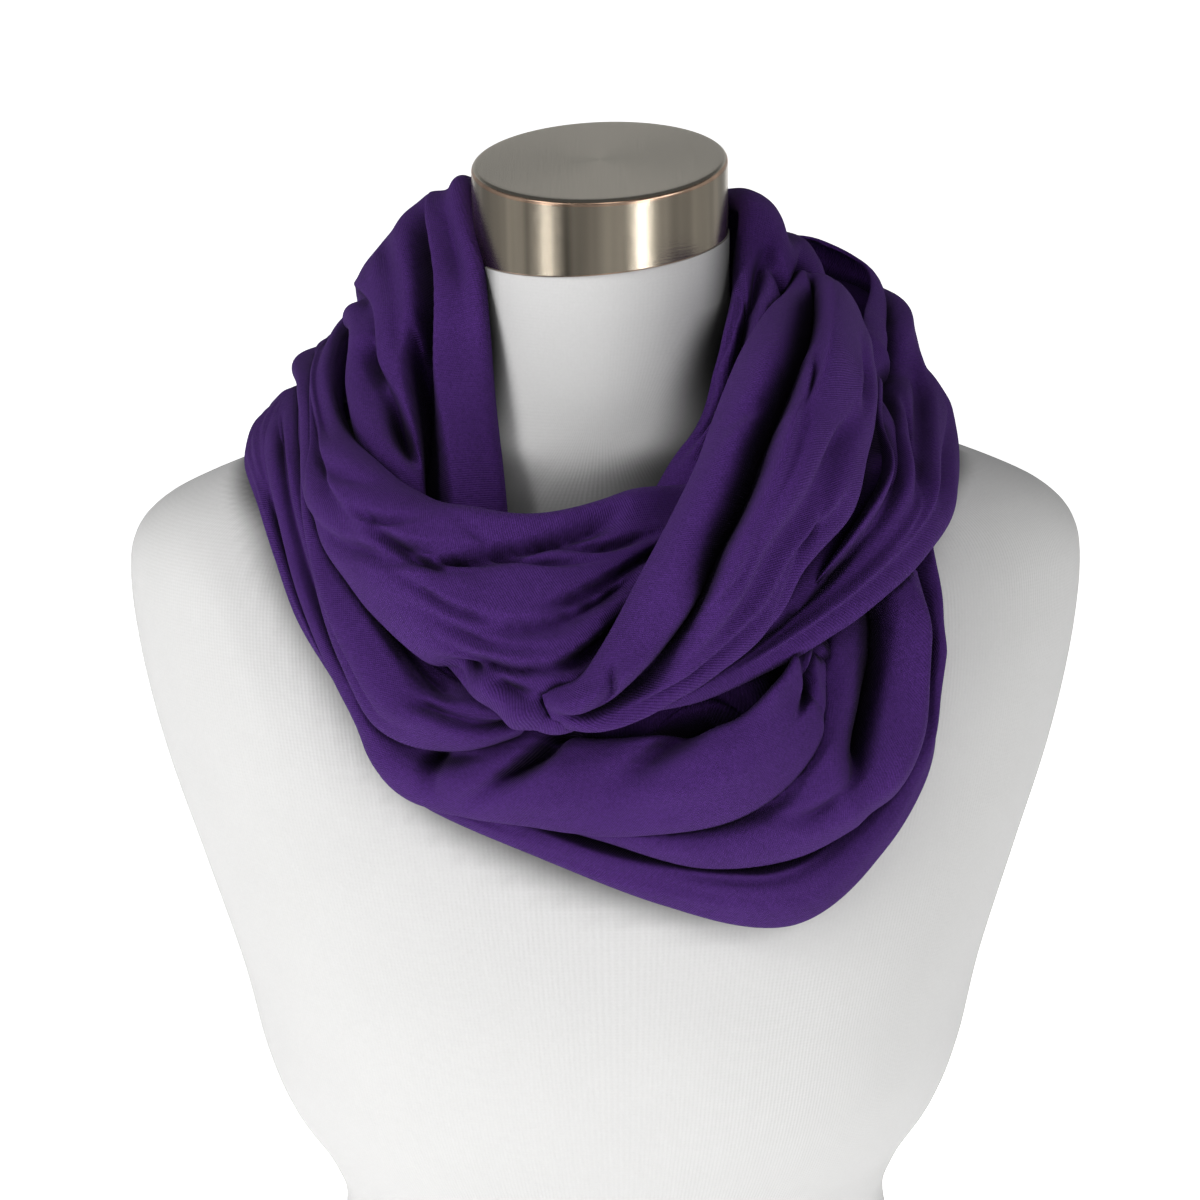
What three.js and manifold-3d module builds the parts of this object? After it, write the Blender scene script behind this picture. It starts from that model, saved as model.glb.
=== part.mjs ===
// Infinity scarf wound twice round a limbless dress form. Millimetres, +Z up, front faces -Y,
// +X is the viewer's right. The origin is the middle of the form's flat base.
import * as THREE from "three";
import Module from "manifold-3d";

const wasm = await Module();
wasm.setup();

// ---- driving dimensions -------------------------------------------------------------------
const WALL = 2.0;              // cloth wall, a folded double layer of jersey
const GAP = 0.3;               // clearance kept between neighbouring pieces
const RING_POINTS = 36;        // points round each ring of the form
const RINGS_PER_ROW = 1;       // rings of the form for each row of its table
const CAP_RADIUS = 51.5;       // neck cap
const CAP_FILLET = 2.5;
const HEM_TURN = 1.9;          // radians by which a stretch's edge rolls under
const ARC_STEPS = 8;           // facets across a stretch, between its two rolled edges
const HEM_STEPS = 1;           // facets round each rolled edge

// ---- the dress form: horizontal rings, base to neck ---------------------------------------
const FORM_COLUMNS = ["z", "halfWidth", "front", "back", "squareness"];
const FORM_ROWS = [
  [0, 150, -100, 98, 2.3],     // flat base at the hips
  [45, 156, -106, 105, 2.3],
  [100, 147, -102, 102, 2.3],
  [155, 131, -93, 91, 2.3],
  [205, 119, -87, 80, 2.25],   // waist
  [235, 125, -97, 80, 2.25],
  [265, 140, -113, 84, 2.25],
  [295, 149, -124, 88, 2.3],
  [335, 157, -128, 93, 2.35],  // bust
  [380, 171, -120, 97, 2.4],
  [425, 186, -106, 97, 2.4],
  [465, 195, -92, 92, 2.4],
  [495, 198, -78, 82, 2.35],   // widest, at the closed armholes
  [512, 195, -68, 73, 2.3],
  [524, 184, -61, 66, 2.25],
  [533, 167, -57, 62, 2.2],
  [542, 144, -56, 60, 2.15],   // shoulder slope
  [550, 120, -56, 59, 2.1],
  [558, 95, -56, 58, 2.1],
  [567, 75, -55, 56, 2.0],
  [578, 62, -54, 53, 2.0],     // foot of the neck
  [592, 55, -53, 50, 2.0],
  [610, 52, -53, 48, 2.0],
];
// the neck is cut on a plane that falls to the front and to the left, and the cap sits on it
const NECK_CUT = { height: 631, forward: 0.055, sideways: 0.075 };
const CAP_TOP = { height: 664.5, forward: 0.14, sideways: 0.028 };
const CAP_CENTRE = { x: 0, y: -3 };

// ---- the scarf's stretches ----------------------------------------------------------------
// A row is one section across a stretch: its inner edge, its outer edge, and how far the
// cloth crowns outwards between them.
const SECTION_COLUMNS = ["ix", "iy", "iz", "ox", "oy", "oz", "crown"];
// A fold runs along the stretch. "across" is 0 at the inner edge and 1 at the outer edge.
const FOLD_COLUMNS = ["acrossStart", "acrossMid", "acrossEnd",
  "heightStart", "heightMid", "heightEnd", "width"];

const STRETCHES = [
  {
    name: "cross_band", side: 1, hem: 7, stations: 15, colour: 0x4d2f7a,
    rows: [
      [70, 30, 586, 92, 34, 580, 8],
      [74, -2, 604, 92, 2, 602, 12],
      [64, -38, 605, 103, -30, 590, 20],
      [51, -85, 596, 102, -65, 574, 24],
      [40, -108, 578, 98, -88, 560, 24],
      [32, -122, 562, 93, -109, 546, 22],
      [22, -132, 545, 78, -124, 530, 20],
      [12, -138, 530, 64, -134, 510, 18],
      [-2, -146, 507, 35, -146, 491, 14],
      [-12, -150, 495, 7, -153, 478, 9],
      [-24, -146, 491, -18, -149, 477, 6],
    ],
    folds: [
      [0.5, 0.5, 0.45, -5, -11, -4, 0.18],
      [0.8, 0.8, 0.8, 2, 5, 1, 0.14],
    ],
  },
  {
    name: "front_drape", side: -1, hem: 8, stations: 18, colour: 0x53327f,
    rows: [
      [10, 100, 597, 10, 124, 546, 16],
      [-52, 90, 594, -66, 114, 550, 16],
      [-96, 52, 588, -122, 64, 560, 15],
      [-108, 0, 580, -126, 5, 566, 12],
      [-102, -42, 567, -119, -48, 551, 13],
      [-88, -78, 562, -107, -83, 529, 18],
      [-73, -92, 555, -89, -106, 510, 23],
      [-55, -99, 547, -65, -130, 493, 25],
      [-33, -104, 543, -42, -146, 481, 20],
      [-10, -102, 545, -18, -150, 474, 16],
      [15, -94, 550, 6, -136, 484, 12],
      [36, -84, 553, 33, -120, 496, 8],
    ],
    folds: [
      [0.35, 0.3, 0.3, -2, -4, -6, 0.12],
      [0.6, 0.62, 0.6, 1, 3, 5, 0.2],
    ],
  },
  {
    name: "shoulder_band", side: 1, hem: 8, stations: 18, colour: 0x4a2c75,
    rows: [
      [10.4, 100, 597, 10.4, 124, 546, 16],
      [56, 84, 616, 84, 112, 560, 14],
      [102, 58, 609, 124, 70, 564, 10],
      [98, 16, 594, 137, 24, 560, 12],
      [92, -12, 585, 143, -4, 543, 15],
      [89, -54, 570, 139, -46, 534, 15],
      [91, -82, 558, 125, -80, 520, 20],
      [77, -105, 538, 94, -110, 503, 16],
      [56, -120, 516, 60, -126, 489, 14],
      [26, -134, 500, 30, -138, 480, 11],
      [4, -141, 491, 6, -144, 479, 8],
      [-10, -139, 488, -10, -141, 480, 5],
    ],
    folds: [
      [0.4, 0.35, 0.4, -2, -9, -3, 0.14],
      [0.7, 0.7, 0.7, 1, 4, 1, 0.12],
    ],
  },
  {
    name: "left_strand", side: -1, hem: 6, stations: 10, colour: 0x573484,
    rows: [
      [-114, 22, 566, -128, 24, 560, 6],
      [-112, -28, 557, -124, -28, 552, 7],
      [-103, -69, 545, -119, -62, 536, 9],
      [-92, -89, 526, -112, -82, 510, 11],
      [-76, -104, 508, -101, -97, 486, 14],
      [-58, -114, 490, -88, -111, 463, 16],
      [-42, -120, 482, -62, -124, 458, 16],
      [-20, -120, 480, -34, -124, 464, 12],
    ],
    folds: [],
  },
  {
    name: "loop_upper", side: -1, hem: 6, stations: 15, colour: 0x5c388a,
    rows: [
      [-124, 30, 562, -140, 30, 552, 6],
      [-122, -12, 558, -138, -12, 549, 6],
      [-116, -52, 541, -131, -46, 537, 7],
      [-101, -80, 505, -119, -72, 500, 9],
      [-84, -96, 478, -101, -94, 465, 11],
      [-56, -108, 471, -79, -112, 435, 14],
      [-20, -113, 474, -27, -128, 427, 16],
      [20, -115, 481, 12, -134, 427, 18],
      [52, -110, 488, 50, -136, 434, 20],
      [70, -98, 500, 84, -126, 455, 18],
      [76, -86, 516, 92, -112, 480, 14],
      [78, -78, 532, 91, -98, 508, 10],
    ],
    folds: [
      [0.4, 0.4, 0.4, 0, -3, -7, 0.16],
    ],
  },
  {
    name: "loop_middle", side: -1, hem: 6, stations: 10, colour: 0x4f307c,
    rows: [
      [-42, -108, 450, -54, -115, 433, 8],
      [-6, -111, 448, -8, -126, 421, 13],
      [32, -112, 447, 35, -133, 412, 16],
      [62, -106, 454, 75, -131, 415, 19],
      [78, -96, 474, 105, -120, 432, 21],
      [84, -88, 496, 120, -105, 455, 20],
      [84, -82, 516, 125, -93, 487, 18],
      [82, -76, 532, 122, -82, 514, 14],
    ],
    folds: [
      [0.35, 0.35, 0.35, -3, -5, -6, 0.18],
    ],
  },
  {
    name: "neck_turn", side: 1, hem: 4, stations: 20, colour: 0x482b72,
    rows: [
      [-31, -76, 504, -74, -88, 508, 8],
      [-37, -68, 522, -84, -82, 530, 10],
      [-39, -60, 552, -93, -68, 554, 12],
      [-42, -46, 588, -103, -30, 576, 14],
      [-47, -29, 624, -102, -4, 592, 13],
      [-54, 10, 652, -103, 22, 592, 12],
      [-44, 47, 646, -88, 68, 578, 13],
      [0, 62, 634, 0, 88, 570, 16],
      [44, 48, 640, 86, 70, 576, 14],
      [58, 12, 645, 100, 24, 582, 12],
      [55, -10, 628, 98, 2, 580, 12],
      [49, -42, 604, 86, -26, 574, 12],
      [36, -54, 571, 67, -64, 559, 12],
      [16, -62, 537, 53, -80, 522, 10],
      [-2, -73, 512, 33, -89, 492, 8],
    ],
    folds: [
      [0.45, 0.5, 0.45, -9, -3, -3, 0.12],
      [0.75, 0.75, 0.7, -5, 2, 2, 0.12],
    ],
  },
  {
    name: "loop_outer", side: -1, hem: 6, stations: 25, closed: true, colour: 0x452a6e,
    rows: [
      [-128, 10, 558, -147, 6, 541, 7],
      [-124, -38, 544, -139, -40, 531, 7],
      [-111, -70, 508, -122, -72, 496, 7],
      [-92, -90, 474, -101, -90, 464, 8],
      [-68, -103, 450, -78, -106, 432, 9],
      [-27, -110, 436, -29, -118, 412, 11],
      [20, -113, 428, 19, -125, 393, 13],
      [62, -108, 434, 70, -123, 383, 15],
      [94, -97, 455, 107, -108, 408, 14],
      [110, -84, 482, 127, -94, 440, 12],
      [115, -74, 508, 130, -82, 474, 10],
      [112, -62, 530, 124, -64, 512, 8],
      [106, -20, 558, 124, -20, 552, 5],
      [100, 40, 562, 130, 40, 546, 8],
      [64, 82, 562, 82, 88, 506, 14],
      [0, 92, 552, 0, 92, 486, 18],
      [-64, 84, 558, -80, 88, 508, 14],
      [-110, 48, 562, -134, 46, 544, 9],
    ],
    folds: [
      [0.5, 0.5, 0.5, 0, -2, -5, 0.16],
    ],
  },
];

// ---- small tools --------------------------------------------------------------------------
const named = (columns, row) => Object.fromEntries(columns.map((column, i) => [column, row[i]]));

// cubic through a table's rows at a place between 0 and its last row (or round a closed table)
function between(rows, place, closed = false) {
  const count = rows.length;
  const last = closed ? count : count - 1;
  const index = Math.min(Math.floor(place), last - 1);
  const t = place - index;
  const pick = (i) => rows[closed ? (i + count) % count : Math.max(0, Math.min(count - 1, i))];
  const [a, b, c, d] = [pick(index - 1), pick(index), pick(index + 1), pick(index + 2)];
  return b.map((value, k) => {
    const [p, q, r, s] = [a[k], value, c[k], d[k]];
    return q + 0.5 * t * (r - p + t * (2 * p - 5 * q + 4 * r - s + t * (3 * (q - r) + s - p)));
  });
}

// start, middle and end values joined by a parabola
function threePoint(start, mid, end, t) {
  return start * (1 - t) * (1 - 2 * t) + 4 * mid * t * (1 - t) + end * t * (2 * t - 1);
}

function closedGeometry(points, triangles) {
  let volume = 0;
  for (const [a, b, c] of triangles) {
    volume += points[a].dot(new THREE.Vector3().crossVectors(points[b], points[c]));
  }
  const facing = volume < 0 ? triangles.map(([a, b, c]) => [a, c, b]) : triangles;
  const geometry = new THREE.BufferGeometry();
  const flat = points.flatMap((p) => [p.x, p.y, p.z]);
  geometry.setAttribute("position", new THREE.Float32BufferAttribute(flat, 3));
  geometry.setIndex(facing.flat());
  return geometry;
}

// skin over a stack of rings with equal point counts; closed stacks join last to first
function skin(rings, closed) {
  const size = rings[0].length;
  const triangles = [];
  const count = closed ? rings.length : rings.length - 1;
  for (let i = 0; i < count; i += 1) {
    const low = i * size;
    const high = ((i + 1) % rings.length) * size;
    for (let k = 0; k < size; k += 1) {
      const next = (k + 1) % size;
      triangles.push([low + k, low + next, high + next], [low + k, high + next, high + k]);
    }
  }
  return triangles;
}

function toSolid(geometry) {
  return new wasm.Manifold(new wasm.Mesh({
    numProp: 3,
    vertProperties: new Float32Array(geometry.getAttribute("position").array),
    triVerts: new Uint32Array(geometry.getIndex().array),
  }));
}

function toGeometry(solid) {
  const mesh = solid.getMesh();
  const geometry = new THREE.BufferGeometry();
  geometry.setAttribute("position", new THREE.BufferAttribute(mesh.vertProperties, 3));
  geometry.setIndex(Array.from(mesh.triVerts));
  geometry.computeVertexNormals();
  return geometry;
}

// ---- the form -----------------------------------------------------------------------------
function formRing({ z, halfWidth, front, back, squareness }, grow, height = () => z) {
  const middle = (front + back) / 2;
  const depth = (back - front) / 2;
  const ring = [];
  for (let k = 0; k < RING_POINTS; k += 1) {
    const angle = (2 * Math.PI * k) / RING_POINTS;
    const power = 2 / squareness;
    const along = (value) => Math.sign(value) * Math.abs(value) ** power;
    const x = (halfWidth + grow) * along(Math.cos(angle));
    const y = middle + (depth + grow) * along(Math.sin(angle));
    ring.push(new THREE.Vector3(x, y, height(x, y)));
  }
  return ring;
}

function plane({ height, forward, sideways }) {
  return (x, y) => height + forward * (y - CAP_CENTRE.y) + sideways * x;
}

function stack(rings) {
  const points = rings.flat();
  const size = rings[0].length;
  const triangles = skin(rings, false);
  for (const [start, rise] of [[0, 0], [points.length - size, 1]]) {
    const middle = new THREE.Vector3();
    for (let k = 0; k < size; k += 1) middle.add(points[start + k]);
    points.push(middle.divideScalar(size));
    for (let k = 0; k < size; k += 1) {
      const pair = [start + k, start + ((k + 1) % size)];
      triangles.push(rise ? [...pair, points.length - 1] : [pair[1], pair[0], points.length - 1]);
    }
  }
  return closedGeometry(points, triangles);
}

function torsoGeometry(grow = 0) {
  const rings = [];
  const last = (FORM_ROWS.length - 1) * RINGS_PER_ROW;
  for (let i = 0; i <= last; i += 1) {
    const row = between(FORM_ROWS, i / RINGS_PER_ROW);
    rings.push(formRing(named(FORM_COLUMNS, row), grow));
  }
  const neck = named(FORM_COLUMNS, FORM_ROWS.at(-1));
  const cut = { ...NECK_CUT, height: NECK_CUT.height - GAP };
  rings.push(formRing(neck, grow, plane(cut)));
  return stack(rings);
}

function capGeometry(grow = 0) {
  const bottom = plane({ ...NECK_CUT, height: NECK_CUT.height - grow });
  const top = plane({ ...CAP_TOP, height: CAP_TOP.height + grow });
  const radius = CAP_RADIUS + grow;
  const circle = (r, height) => {
    const ring = [];
    for (let k = 0; k < RING_POINTS; k += 1) {
      const angle = (2 * Math.PI * k) / RING_POINTS;
      const x = CAP_CENTRE.x + r * Math.cos(angle);
      const y = CAP_CENTRE.y + r * Math.sin(angle);
      ring.push(new THREE.Vector3(x, y, height(x, y)));
    }
    return ring;
  };
  const rings = [circle(radius, bottom)];
  for (const turn of [0, 0.5, 1]) {
    const angle = (turn * Math.PI) / 2;
    const inset = CAP_FILLET * (1 - Math.cos(angle));
    const drop = CAP_FILLET * (1 - Math.sin(angle));
    rings.push(circle(radius - inset, (x, y) => top(x, y) - drop));
  }
  return stack(rings);
}

// ---- one stretch of cloth -----------------------------------------------------------------
// the section is a C: an arch between the two edges, with both edges rolled under
function sectionCurve(width, crown, hem) {
  const radius = Math.min(hem, width / 3);
  const curve = [];
  for (let k = HEM_STEPS; k > 0; k -= 1) {
    const turn = (HEM_TURN * k) / HEM_STEPS;
    curve.push([radius * (1 - Math.cos(turn)), -radius * Math.sin(turn)]);
  }
  for (let k = 0; k <= ARC_STEPS; k += 1) {
    const turn = (Math.PI * k) / ARC_STEPS;
    curve.push([(width * (1 - Math.cos(turn))) / 2, crown * Math.sin(turn) ** 0.8]);
  }
  for (let k = 1; k <= HEM_STEPS; k += 1) {
    const turn = (HEM_TURN * k) / HEM_STEPS;
    curve.push([width - radius * (1 - Math.cos(turn)), -radius * Math.sin(turn)]);
  }
  return curve;
}

function foldHeight(folds, along, across) {
  let height = 0;
  for (const fold of folds) {
    const f = named(FOLD_COLUMNS, fold);
    const centre = threePoint(f.acrossStart, f.acrossMid, f.acrossEnd, along);
    const rise = threePoint(f.heightStart, f.heightMid, f.heightEnd, along);
    height += rise * Math.exp(-(((across - centre) / f.width) ** 2));
  }
  return height;
}

function stretchGeometry(stretch, grow = 0) {
  const { rows, folds, hem, side, stations, closed = false } = stretch;
  const last = closed ? rows.length : rows.length - 1;
  const sections = [];
  for (let i = 0; i < (closed ? stations : stations + 1); i += 1) {
    sections.push(named(SECTION_COLUMNS, between(rows, (last * i) / stations, closed)));
  }
  const middles = sections.map((s) => new THREE.Vector3(s.ix + s.ox, s.iy + s.oy, s.iz + s.oz)
    .multiplyScalar(0.5));
  const rings = sections.map((s, i) => {
    const count = sections.length;
    const before = closed ? middles[(i + count - 1) % count] : middles[Math.max(0, i - 1)];
    const after = closed ? middles[(i + 1) % count] : middles[Math.min(count - 1, i + 1)];
    const tangent = new THREE.Vector3().subVectors(after, before).normalize();
    const inner = new THREE.Vector3(s.ix, s.iy, s.iz);
    const across = new THREE.Vector3(s.ox, s.oy, s.oz).sub(inner);
    const width = across.length();
    across.normalize();
    const out = new THREE.Vector3().crossVectors(tangent, across).normalize().multiplyScalar(side);
    const end = closed ? 0 : (i === 0 ? -grow : (i === count - 1 ? grow : 0));
    inner.addScaledVector(tangent, end);
    const curve = sectionCurve(width, s.crown, hem);
    const along = i / (closed ? count : count - 1);
    const lifted = curve.map(([a, h]) => {
      const inArch = h >= 0 ? 1 : 0;
      return [a, h + inArch * foldHeight(folds, along, a / width)];
    });
    const normals = lifted.map((p, k) => {
      const from = lifted[Math.max(0, k - 1)];
      const to = lifted[Math.min(lifted.length - 1, k + 1)];
      const length = Math.hypot(to[0] - from[0], to[1] - from[1]) || 1;
      return [-(to[1] - from[1]) / length, (to[0] - from[0]) / length];
    });
    const place = (k, offset) => {
      const [a, h] = lifted[k];
      const [na, nh] = normals[k];
      const tip = k === 0 ? -grow : (k === lifted.length - 1 ? grow : 0);
      return inner.clone()
        .addScaledVector(across, a + na * offset + nh * tip)
        .addScaledVector(out, h + nh * offset - na * tip);
    };
    const ring = lifted.map((p, k) => place(k, grow));
    for (let k = lifted.length - 1; k >= 0; k -= 1) ring.push(place(k, -WALL - grow));
    return ring;
  });
  const points = rings.flat();
  const triangles = skin(rings, closed);
  if (!closed) {
    const size = rings[0].length;
    for (const [start, flip] of [[0, false], [(rings.length - 1) * size, true]]) {
      for (let k = 0; k < size / 2 - 1; k += 1) {
        const [a, b, c, d] = [k, k + 1, size - 2 - k, size - 1 - k].map((v) => start + v);
        const pair = [[a, c, b], [a, d, c]];
        triangles.push(...(flip ? pair.map(([p, q, r]) => [p, r, q]) : pair));
      }
    }
  }
  return closedGeometry(points, triangles);
}

// ---- assembly -----------------------------------------------------------------------------
const part = new THREE.Group();
part.name = "infinity_scarf_on_dress_form";

function add(name, geometry, settings) {
  geometry.computeVertexNormals();
  const mesh = new THREE.Mesh(geometry, new THREE.MeshStandardMaterial(settings));
  mesh.name = name;
  part.add(mesh);
}

add("form_torso", torsoGeometry(), { color: 0xdbdad8, roughness: 0.9, metalness: 0 });
add("form_neck_cap", capGeometry(), { color: 0x9a9184, roughness: 0.35, metalness: 1 });

// what is left of a stretch once the form and the stretches lying over it are cleared away
const keepOut = [toSolid(torsoGeometry(GAP)), toSolid(capGeometry(GAP))];
const placed = [];

function cleared(whole) {
  let solid = keepOut.reduce((rest, other) => rest.subtract(other), whole);
  for (const other of placed) {
    for (const touch of solid.intersect(other).decompose()) solid = solid.subtract(touch.hull());
  }
  return solid.decompose().sort((a, b) => b.volume() - a.volume())[0];
}

for (const stretch of STRETCHES) {
  const whole = toSolid(stretchGeometry(stretch));
  const solid = cleared(whole);
  keepOut.push(whole.add(toSolid(stretchGeometry(stretch, GAP))));
  placed.push(solid);
  add(stretch.name, toGeometry(solid),
    { color: stretch.colour, roughness: 0.85, metalness: 0, side: THREE.DoubleSide });
}

export default part;
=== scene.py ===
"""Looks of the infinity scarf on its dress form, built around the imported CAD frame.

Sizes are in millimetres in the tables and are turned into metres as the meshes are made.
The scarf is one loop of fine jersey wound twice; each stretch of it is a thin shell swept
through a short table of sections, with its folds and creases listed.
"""
import math

import bpy
import numpy as np
from mathutils import Matrix, Vector, noise
from mathutils.bvhtree import BVHTree


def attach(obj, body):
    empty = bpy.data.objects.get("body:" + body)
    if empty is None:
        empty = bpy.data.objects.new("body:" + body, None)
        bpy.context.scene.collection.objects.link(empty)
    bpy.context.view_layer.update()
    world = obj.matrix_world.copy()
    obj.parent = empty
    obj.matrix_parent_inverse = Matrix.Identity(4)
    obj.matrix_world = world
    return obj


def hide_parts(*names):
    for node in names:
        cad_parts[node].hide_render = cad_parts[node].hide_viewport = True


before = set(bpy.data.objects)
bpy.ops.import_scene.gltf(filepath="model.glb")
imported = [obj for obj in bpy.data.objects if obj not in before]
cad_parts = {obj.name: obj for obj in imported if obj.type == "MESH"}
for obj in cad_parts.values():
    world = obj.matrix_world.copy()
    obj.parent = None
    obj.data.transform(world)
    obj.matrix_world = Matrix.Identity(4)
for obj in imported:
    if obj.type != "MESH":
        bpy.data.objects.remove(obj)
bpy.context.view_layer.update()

MM = 0.001
WALL = 1.5                      # a folded double layer of fine jersey

# ---- camera --------------------------------------------------------------------------------
CAMERA_AIM = (-2.5, 0.0, 478.0)      # mm, a little left of the form's middle
CAMERA_DISTANCE = 1300.0
CAMERA_RAISED = math.radians(18.0)
CAMERA_ROLL = math.radians(-0.9)
CAMERA_LENS = 92.86


def make_camera():
    aim = Vector(CAMERA_AIM) * MM
    back = Vector((0, -math.cos(CAMERA_RAISED), math.sin(CAMERA_RAISED)))
    data = bpy.data.cameras.new("camera")
    data.lens = CAMERA_LENS
    data.sensor_width = 36.0
    data.clip_end = 100.0
    camera = bpy.data.objects.new("camera", data)
    turn = back.to_track_quat("Z", "Y").to_matrix().to_4x4() @ Matrix.Rotation(CAMERA_ROLL, 4, "Z")
    camera.matrix_world = Matrix.Translation(aim + back * CAMERA_DISTANCE * MM) @ turn
    bpy.context.scene.collection.objects.link(camera)
    bpy.context.scene.camera = camera


# ---- tables --------------------------------------------------------------------------------
def columns(names, rows):
    """A table as a dictionary of arrays, one for each named column."""
    values = np.array(rows, float)
    return {name: values[:, i] for i, name in enumerate(names.split())}


def through_rows(values, place, closed=False):
    """Catmull-Rom curve through a column's values, at places counted in rows."""
    values = np.asarray(values, float)
    place = np.asarray(place, float)
    count = len(values)
    last = count if closed else count - 1
    index = np.clip(np.floor(place).astype(int), 0, last - 1)
    t = place - index
    if closed:
        a, b, c, d = (values[(index + k) % count] for k in (-1, 0, 1, 2))
    else:
        a, b, c, d = (values[np.clip(index + k, 0, count - 1)] for k in (-1, 0, 1, 2))
    return b + 0.5 * t * (c - a + t * (2 * a - 5 * b + 4 * c - d + t * (3 * (b - c) + d - a)))


def smooth_step(x):
    x = np.clip(x, 0.0, 1.0)
    return x * x * (3 - 2 * x)


def soft_noise(x, y, seed):
    """Blender's noise on two arrays, from -1 to 1, always the same for a seed."""
    flat = [noise.noise(Vector((a, b, seed))) for a, b in zip(x.ravel(), y.ravel())]
    return np.array(flat).reshape(x.shape)


# ---- materials -----------------------------------------------------------------------------
def node_maker(material):
    tree = material.node_tree

    def make(kind, **settings):
        node = tree.nodes.new(kind)
        for key, value in settings.items():
            if key in node.inputs:
                node.inputs[key].default_value = value
            else:
                setattr(node, key, value)
        return node
    return tree, make


def new_material(name):
    material = bpy.data.materials.new(name)
    material.use_nodes = True
    tree, make = node_maker(material)
    shader = tree.nodes["Principled BSDF"]
    return material, tree, make, shader


def calculator(make, link):
    """Two short ways to add nodes: calc for a Math node, remap for a Map Range node."""
    def calc(operation, *values):
        node = make("ShaderNodeMath", operation=operation)
        for socket, value in zip(node.inputs, values):
            if isinstance(value, (int, float)):
                socket.default_value = value
            else:
                link(value, socket)
        return node.outputs[0]

    def remap(value, start, end, smooth=False):
        """value goes from the pair start to the pair end."""
        node = make("ShaderNodeMapRange")
        if smooth:
            node.interpolation_type = "SMOOTHSTEP"
        node.inputs["From Min"].default_value, node.inputs["From Max"].default_value = start
        node.inputs["To Min"].default_value, node.inputs["To Max"].default_value = end
        link(value, node.inputs["Value"])
        return node.outputs["Result"]
    return calc, remap


def tone_ramp(make, link, factor, low, high, colours):
    """A colour ramp between two stops, each a place and a colour."""
    ramp = make("ShaderNodeValToRGB")
    link(factor, ramp.inputs["Fac"])
    for stop, place, colour in zip(ramp.color_ramp.elements, (low, high), colours):
        stop.position = place
        stop.color = [min(1, c) for c in colour] + [1]
    return ramp.outputs["Color"]


ALONG_SHARE = 0.35          # stitches along a column show less than the columns do
STITCH_RANGE = 1 + ALONG_SHARE
FUZZ_HEIGHT = 1.4           # of the fuzz in the bump, against the stitches


def knit_material(name, colour, wale, course, relief, sheen, tint, blotch):
    """Fine jersey: columns of stitches on the cloth map, with uneven dye and fuzz, and painted
    shade in hollows.

    wale and course are the pitch of the stitches across and along, in mm; blotch is how
    uneven the colour is.
    """
    material, tree, make, shader = new_material(name)
    link = tree.links.new
    calc, remap = calculator(make, link)
    uv = make("ShaderNodeUVMap", uv_map="cloth")
    split = make("ShaderNodeSeparateXYZ")
    link(uv.outputs["UV"], split.inputs[0])
    across, along = (calc("SINE", calc("MULTIPLY", split.outputs[axis], 2 * math.pi / (pitch * MM)))
                     for axis, pitch in (("X", wale), ("Y", course)))
    stitch = calc("MULTIPLY_ADD", along, ALONG_SHARE, across)

    place = make("ShaderNodeTexCoord")
    dye = make("ShaderNodeTexNoise", Scale=22.0, Detail=4.0, Roughness=0.6)
    link(place.outputs["Object"], dye.inputs["Vector"])
    fuzz = make("ShaderNodeTexNoise", Scale=900.0, Detail=3.0, Roughness=0.7)
    link(place.outputs["Object"], fuzz.inputs["Vector"])

    dyed = tone_ramp(make, link, dye.outputs["Fac"], 0.3, 0.72,
                     [[c * (1 - blotch) for c in colour], [c * (1 + blotch) for c in colour]])
    shade = remap(stitch, (-STITCH_RANGE, STITCH_RANGE), (1 - 1.2 * blotch, 1 + 1.2 * blotch))
    speck = remap(fuzz.outputs["Fac"], (0.3, 0.7), (1 - 2.2 * blotch, 1 + 2.2 * blotch))
    # painted shade: the colour is multiplied by the shade baked for hollows and deep folds
    hollow = make("ShaderNodeAttribute", attribute_name="painted_shade")
    depth = calc("MULTIPLY", hollow.outputs["Fac"], calc("MULTIPLY", speck, shade))
    mix = make("ShaderNodeVectorMath", operation="SCALE")
    link(dyed, mix.inputs[0])
    link(depth, mix.inputs["Scale"])
    link(mix.outputs["Vector"], shader.inputs["Base Color"])

    bump = make("ShaderNodeBump", Strength=relief, Distance=0.0004)
    link(calc("MULTIPLY_ADD", fuzz.outputs["Fac"], FUZZ_HEIGHT, stitch), bump.inputs["Height"])
    link(bump.outputs["Normal"], shader.inputs["Normal"])
    shader.inputs["Roughness"].default_value = 0.92
    shader.inputs["Specular IOR Level"].default_value = 0.08
    shader.inputs["Sheen Weight"].default_value = sheen
    shader.inputs["Sheen Roughness"].default_value = 0.45
    shader.inputs["Sheen Tint"].default_value = list(tint) + [1]
    return material


BRUSHED_ROUGHNESS = (0.13, 0.27)
SIDE_PAINTED_STREAK_DARKEST = 0.12         # darkest and brightest painted reflection streaks, down the side and across the top, as shares of the colour
TOP_PAINTED_STREAK_DARKEST = 0.95
PAINTED_STREAK_BRIGHTEST = 1.12


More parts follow.
